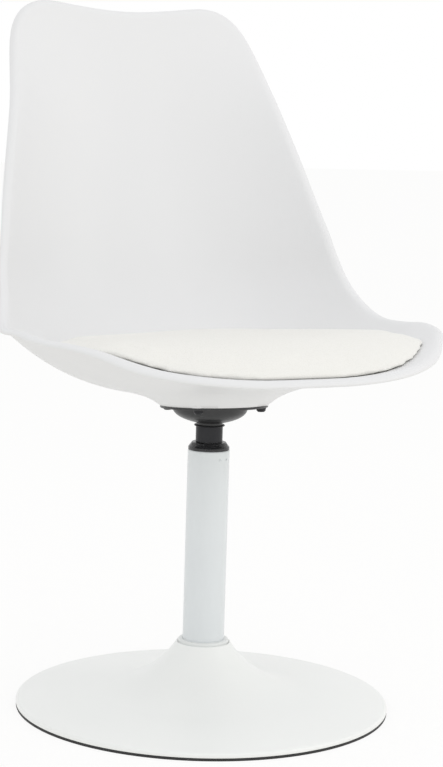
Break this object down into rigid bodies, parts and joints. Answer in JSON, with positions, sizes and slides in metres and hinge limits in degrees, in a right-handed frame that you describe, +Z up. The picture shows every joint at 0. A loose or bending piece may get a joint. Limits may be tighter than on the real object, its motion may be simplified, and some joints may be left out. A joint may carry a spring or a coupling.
{
  "type": "swivel chair",
  "caption": "Swivel dining chair: white moulded bucket seat with a pale seat pad, turning on a white column with a wide trumpet foot.",
  "frame": {"origin": "on the floor, on the column's axis", "axes": "+Z up along the column, -Y the way the sitter faces, +X the sitter's left"},
  "size_m": [0.5185, 0.4906, 0.8118],
  "materials": {
    "white_shell": "satin",
    "ivory_leatherette": "satin",
    "white_coat": "gloss",
    "black_coat": "satin",
    "black_nylon": "satin",
    "white_nylon": "satin",
    "black_rubber": "matte",
    "cast_iron": "rough",
    "bright_steel": "satin",
    "brass": "satin",
    "plywood": "matte",
    "black_tape": "matte"
  },
  "bodies": {
    "base": {"base_trumpet": "white_coat", "base_ring": "black_rubber", "ballast_plate": "cast_iron", "column_tube": "white_coat", "column_plug": "bright_steel", "column_bolt": "bright_steel", "spring_washer": "bright_steel", "column_washer": "bright_steel", "column_collar": "white_nylon", "top_bush": "black_nylon", "lower_bush": "black_nylon", "bearing_seat": "bright_steel", "lower_race": "bright_steel"},
    "cage": {"bearing_cage": "brass", "bearing_rollers": "bright_steel"},
    "seat": {"seat_shell": "white_shell", "pad_cushion": "ivory_leatherette", "pad_board": "plywood", "pad_fixings": "black_tape", "seat_inserts": "brass", "swivel_plate": "black_coat", "seat_bolts": "black_coat", "seat_washers": "black_coat", "swivel_dish": "black_coat", "spindle": "bright_steel", "spindle_sleeve": "black_nylon", "neck_ring": "black_coat", "upper_race": "bright_steel", "retainer_washer": "bright_steel", "retainer_clip": "bright_steel"}
  },
  "joints": [
    {"name": "seat_swivel", "type": "hinge", "parent": "base", "child": "seat", "pos_m": [0, 0, 0.309], "axis": [0, 0, 1], "continuous": true},
    {"name": "cage_turn", "type": "hinge", "parent": "base", "child": "cage", "pos_m": [0, 0, 0.1705], "axis": [0, 0, 1], "continuous": true}
  ],
  "couplings": [
    {"joint": "cage_turn", "follows": "seat_swivel", "ratio": 0.5}
  ]
}
